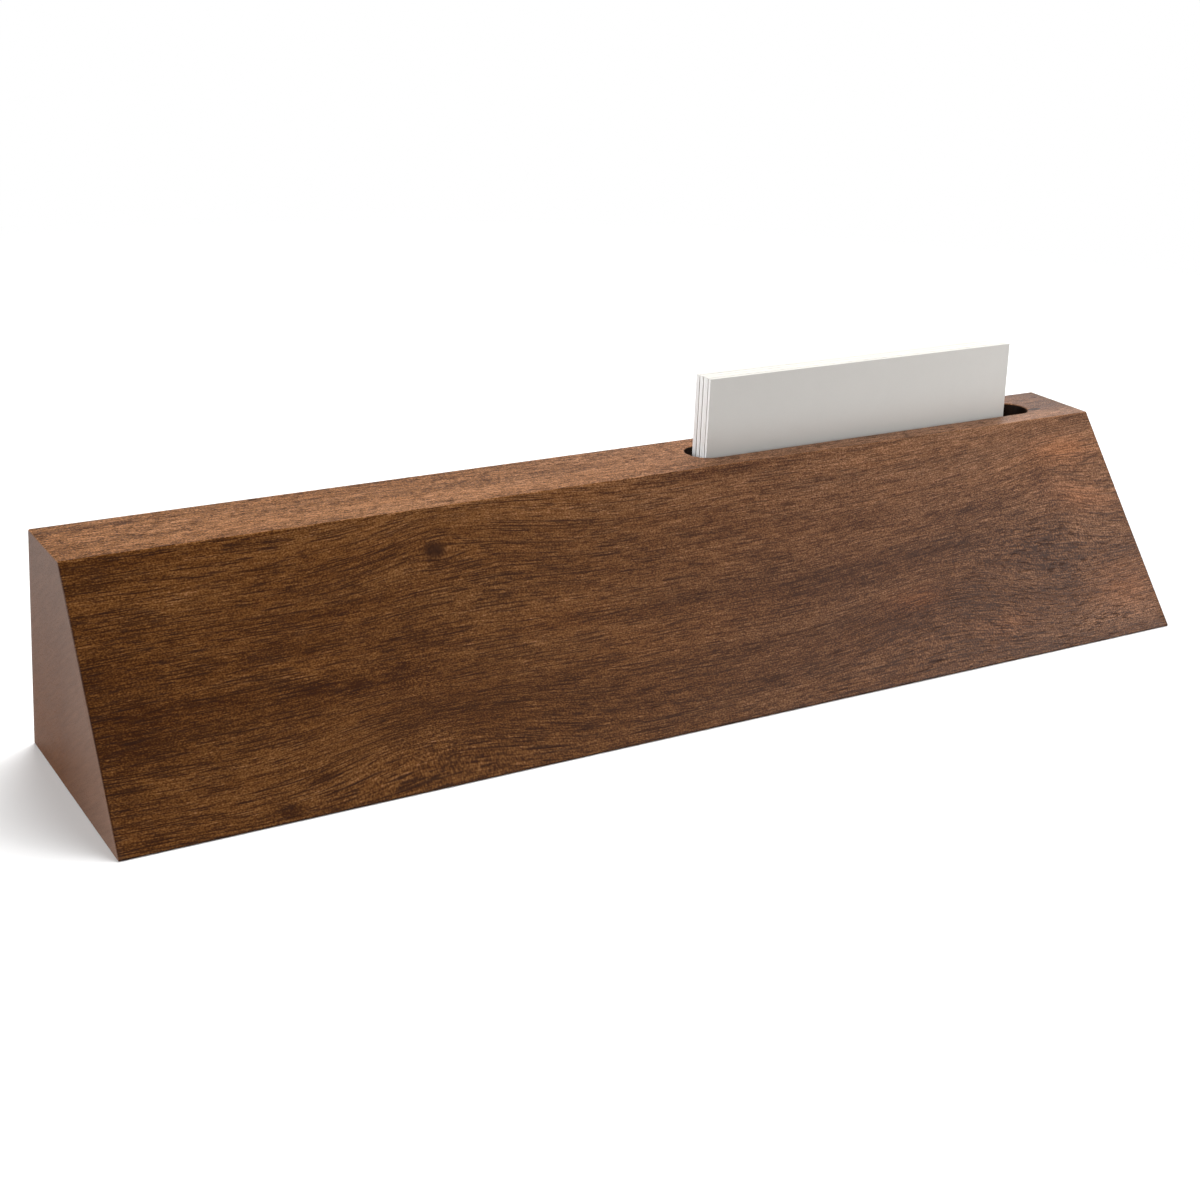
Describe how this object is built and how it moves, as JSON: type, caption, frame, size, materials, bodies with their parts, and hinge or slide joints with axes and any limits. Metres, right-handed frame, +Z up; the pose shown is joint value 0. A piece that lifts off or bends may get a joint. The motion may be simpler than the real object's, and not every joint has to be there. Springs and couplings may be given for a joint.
{
  "type": "desk nameplate with card holder",
  "caption": "Walnut desk block with a sloping bare name face and a round-ended slot in its top that holds a stack of loose business cards.",
  "frame": {"origin": "on the desk, under the middle of the block's length and depth", "axes": "+X along the block towards the slot's end, which is the reader's right; -Y towards the reader, whom the sloping face looks at; +Z up"},
  "size_m": [0.26, 0.0538, 0.0628],
  "materials": {
    "walnut": "hand-rubbed oil over fine-sanded walnut",
    "card_stock": "uncoated white card"
  },
  "bodies": {
    "block": {"nameplate_block": "walnut"},
    "card_01": {"business_card_01": "card_stock"},
    "card_02": {"business_card_02": "card_stock"},
    "card_03": {"business_card_03": "card_stock"},
    "card_04": {"business_card_04": "card_stock"},
    "card_05": {"business_card_05": "card_stock"},
    "card_06": {"business_card_06": "card_stock"},
    "card_07": {"business_card_07": "card_stock"},
    "card_08": {"business_card_08": "card_stock"},
    "card_09": {"business_card_09": "card_stock"},
    "card_10": {"business_card_10": "card_stock"},
    "card_11": {"business_card_11": "card_stock"},
    "card_12": {"business_card_12": "card_stock"}
  },
  "joints": [
    {"name": "card_01_lift", "type": "slide", "parent": "block", "child": "card_01", "axis": [0, 0, 1], "range_m": [0, 0.036]},
    {"name": "card_02_lift", "type": "slide", "parent": "block", "child": "card_02", "axis": [0, 0, 1], "range_m": [0, 0.036]},
    {"name": "card_03_lift", "type": "slide", "parent": "block", "child": "card_03", "axis": [0, 0, 1], "range_m": [0, 0.036]},
    {"name": "card_04_lift", "type": "slide", "parent": "block", "child": "card_04", "axis": [0, 0, 1], "range_m": [0, 0.036]},
    {"name": "card_05_lift", "type": "slide", "parent": "block", "child": "card_05", "axis": [0, 0, 1], "range_m": [0, 0.036]},
    {"name": "card_06_lift", "type": "slide", "parent": "block", "child": "card_06", "axis": [0, 0, 1], "range_m": [0, 0.036]},
    {"name": "card_07_lift", "type": "slide", "parent": "block", "child": "card_07", "axis": [0, 0, 1], "range_m": [0, 0.036]},
    {"name": "card_08_lift", "type": "slide", "parent": "block", "child": "card_08", "axis": [0, 0, 1], "range_m": [0, 0.036]},
    {"name": "card_09_lift", "type": "slide", "parent": "block", "child": "card_09", "axis": [0, 0, 1], "range_m": [0, 0.036]},
    {"name": "card_10_lift", "type": "slide", "parent": "block", "child": "card_10", "axis": [0, 0, 1], "range_m": [0, 0.036]},
    {"name": "card_11_lift", "type": "slide", "parent": "block", "child": "card_11", "axis": [0, 0, 1], "range_m": [0, 0.036]},
    {"name": "card_12_lift", "type": "slide", "parent": "block", "child": "card_12", "axis": [0, 0, 1], "range_m": [0, 0.036]}
  ]
}
